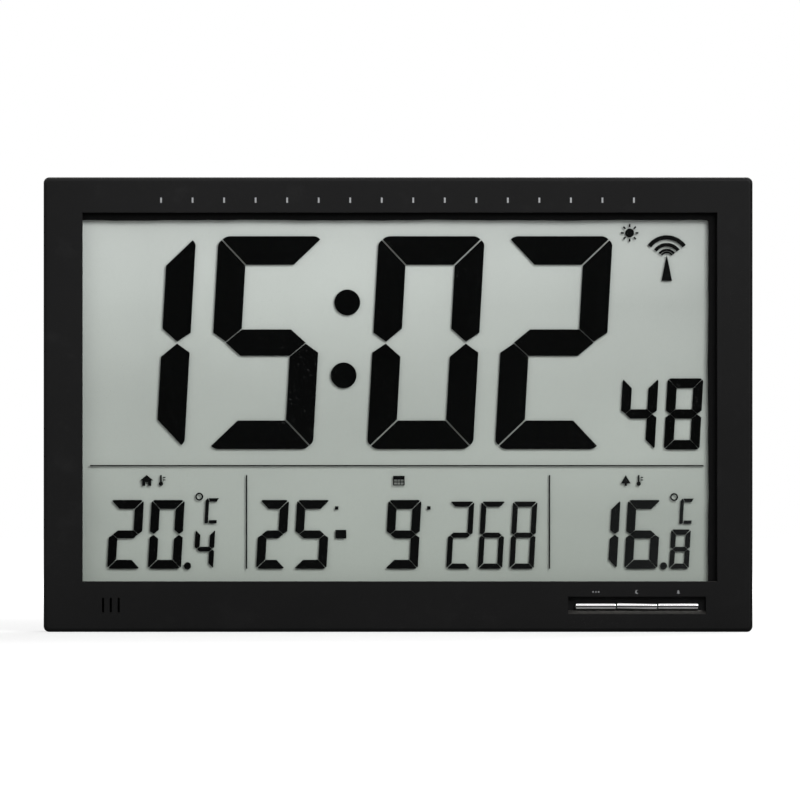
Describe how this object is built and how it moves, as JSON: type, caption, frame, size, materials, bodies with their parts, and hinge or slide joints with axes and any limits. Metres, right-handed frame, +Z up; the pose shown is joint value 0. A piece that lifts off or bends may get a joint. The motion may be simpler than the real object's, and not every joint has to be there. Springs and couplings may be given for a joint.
{
  "type": "digital wall clock",
  "caption": "Wide black rectangular digital wall clock with a large grey liquid crystal display, chrome buttons in a pocket under it and folding legs at the back.",
  "frame": {"origin": "middle of the underside, on the surface that the clock stands on", "axes": "+Z up, display faces -Y, +X to the right as the display is read"},
  "size_m": [0.368, 0.03, 0.236],
  "materials": {
    "black_case": "satin moulded plastic",
    "black_foam": "matt foam",
    "polariser_film": "anti-glare film",
    "clear_glass": "clear",
    "cell_seal": "matt",
    "dark_segment": "dark liquid crystal",
    "grey_reflector": "diffuse grey-green reflector",
    "white_tray": "moulded",
    "pink_elastomer": "matt",
    "chrome": "bright",
    "switch_black": "moulded",
    "plunger_grey": "moulded",
    "grey_key": "matt",
    "green_board": "solder mask",
    "black_epoxy": "gloss",
    "bright_steel": "zinc plated",
    "dark_screw": "plated",
    "nickel": "nickel plated spring sheet",
    "ferrite": "sintered",
    "copper_winding": "enamelled copper",
    "can_metal": "satin",
    "sleeve": "shrink sleeve",
    "cell_jacket": "printed foil jacket, plain",
    "sounder_black": "moulded",
    "bead_green": "coated",
    "red_lead": "insulation"
  },
  "bodies": {
    "case": {"aerial_leads": "copper_winding", "antenna_coil": "copper_winding", "battery_leads": "red_lead", "board_screws": "bright_steel", "bridge_contact": "nickel", "button_board": "green_board", "button_board_screws": "bright_steel", "button_ribbon": "grey_key", "buzzer": "sounder_black", "buzzer_leads": "red_lead", "capacitors": "sleeve", "case_screws": "dark_screw", "cells": "cell_jacket", "crystals": "can_metal", "edge_seal": "cell_seal", "epoxy_drop": "black_epoxy", "ferrite_rod": "ferrite", "front_bezel": "black_case", "front_glass": "clear_glass", "front_polariser": "polariser_film", "front_switches": "switch_black", "key_board": "green_board", "key_board_screws": "bright_steel", "key_ribbon": "grey_key", "lcd_segments": "dark_segment", "lcd_symbols": "dark_segment", "lcd_tray": "white_tray", "leg_pins": "bright_steel", "main_board": "green_board", "minus_contact": "nickel", "plus_contact": "nickel", "rear_cover": "black_case", "rear_glass": "clear_glass", "rear_reflector": "grey_reflector", "rear_switches": "switch_black", "receiver_board": "green_board", "rubber_strip": "pink_elastomer", "sensor_aerial": "copper_winding", "sensor_board": "green_board", "thermistor": "bead_green", "tray_screws": "bright_steel", "window_gasket": "black_foam"},
    "mode_key": {"mode_button": "chrome", "mode_plunger": "plunger_grey"},
    "snooze_key": {"snooze_button": "chrome", "snooze_plunger": "plunger_grey"},
    "alarm_key": {"alarm_button": "chrome", "alarm_plunger": "plunger_grey"},
    "down_key": {"down_key": "grey_key", "down_plunger": "plunger_grey"},
    "up_key": {"up_key": "grey_key", "up_plunger": "plunger_grey"},
    "reset_key": {"reset_key": "grey_key", "reset_plunger": "plunger_grey"},
    "left_leg": {"left_stand_leg": "black_case"},
    "right_leg": {"right_stand_leg": "black_case"},
    "door": {"battery_door": "black_case"}
  },
  "joints": [
    {"name": "mode_press", "type": "slide", "parent": "case", "child": "mode_key", "axis": [0, 1, 0], "range_m": [0, 0.0005], "stiffness_N_per_m": 500},
    {"name": "snooze_press", "type": "slide", "parent": "case", "child": "snooze_key", "axis": [0, 1, 0], "range_m": [0, 0.0005], "stiffness_N_per_m": 500},
    {"name": "alarm_press", "type": "slide", "parent": "case", "child": "alarm_key", "axis": [0, 1, 0], "range_m": [0, 0.0005], "stiffness_N_per_m": 500},
    {"name": "down_press", "type": "slide", "parent": "case", "child": "down_key", "axis": [0, -1, 0], "range_m": [0, 0.0005], "stiffness_N_per_m": 500},
    {"name": "up_press", "type": "slide", "parent": "case", "child": "up_key", "axis": [0, -1, 0], "range_m": [0, 0.0005], "stiffness_N_per_m": 500},
    {"name": "reset_press", "type": "slide", "parent": "case", "child": "reset_key", "axis": [0, -1, 0], "range_m": [0, 0.0005], "stiffness_N_per_m": 500},
    {"name": "left_leg_fold", "type": "hinge", "parent": "case", "child": "left_leg", "pos_m": [-0.11, 0.0112, 0.007], "axis": [-1, 0, 0], "range_deg": [0, 84.5]},
    {"name": "right_leg_fold", "type": "hinge", "parent": "case", "child": "right_leg", "pos_m": [0.11, 0.0112, 0.007], "axis": [-1, 0, 0], "range_deg": [0, 84.5]},
    {"name": "door_hinge", "type": "hinge", "parent": "case", "child": "door", "pos_m": [0, 0.0128, 0.1187], "axis": [-1, 0, 0], "range_deg": [0, 90]}
  ]
}
